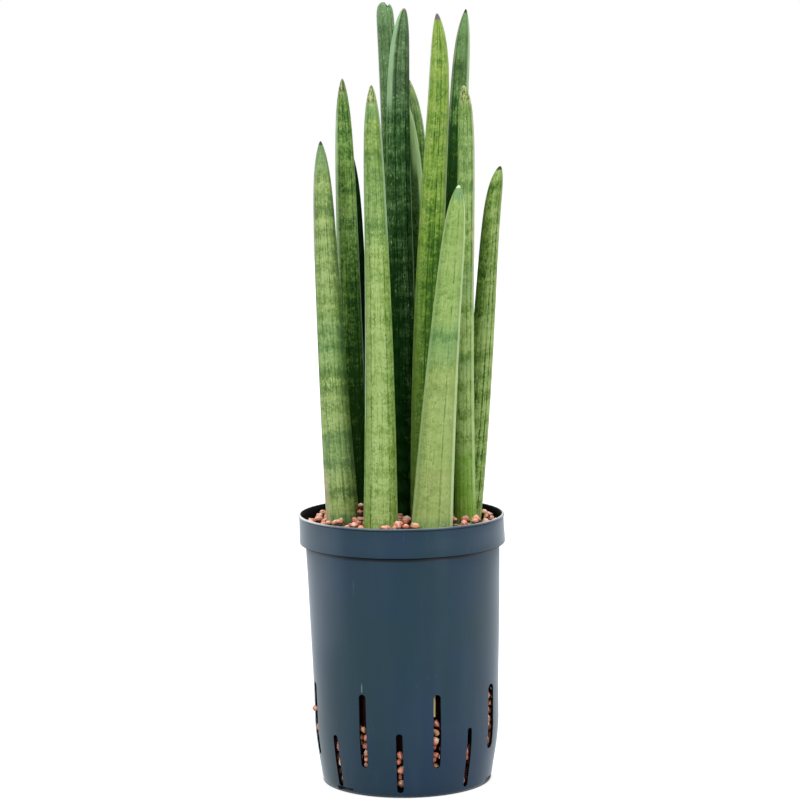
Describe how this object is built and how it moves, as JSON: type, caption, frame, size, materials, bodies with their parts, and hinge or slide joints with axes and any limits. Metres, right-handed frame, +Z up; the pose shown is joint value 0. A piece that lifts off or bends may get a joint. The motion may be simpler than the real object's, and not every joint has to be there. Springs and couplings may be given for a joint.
{
  "type": "cylindrical snake plant",
  "caption": "Potted succulent: upright tapered cylindrical leaves on rhizomes in clay granules, in a tall round culture pot with slotted walls.",
  "frame": {"origin": "middle of the pot's base, on the plane that the pot stands on", "axes": "+Z up along the pot's axis, -Y to the front, +X to the right seen from the front"},
  "size_m": [0.1496, 0.148, 0.5575],
  "materials": {
    "pot_plastic": "satin slate-blue injection-moulded plastic",
    "clay": "dull fired clay granules",
    "rhizome_skin": "dull root skin",
    "leaf_pale": "waxy satin leaf skin, pale grey-green",
    "leaf_bright": "waxy satin leaf skin, bright yellow-green",
    "leaf_dark": "waxy satin leaf skin, dark green"
  },
  "bodies": {
    "root": {"pot": "pot_plastic", "clay_granules": "clay", "rhizome_1": "rhizome_skin", "rhizome_2": "rhizome_skin", "rhizome_3": "rhizome_skin", "rhizome_4": "rhizome_skin", "leaf_01": "leaf_pale", "leaf_02": "leaf_bright", "leaf_03": "leaf_dark", "leaf_04": "leaf_bright", "leaf_05": "leaf_dark", "leaf_06": "leaf_dark", "leaf_07": "leaf_pale", "leaf_08": "leaf_bright", "leaf_09": "leaf_dark", "leaf_10": "leaf_dark", "leaf_11": "leaf_pale", "leaf_12": "leaf_bright", "leaf_13": "leaf_dark"}
  },
  "joints": []
}
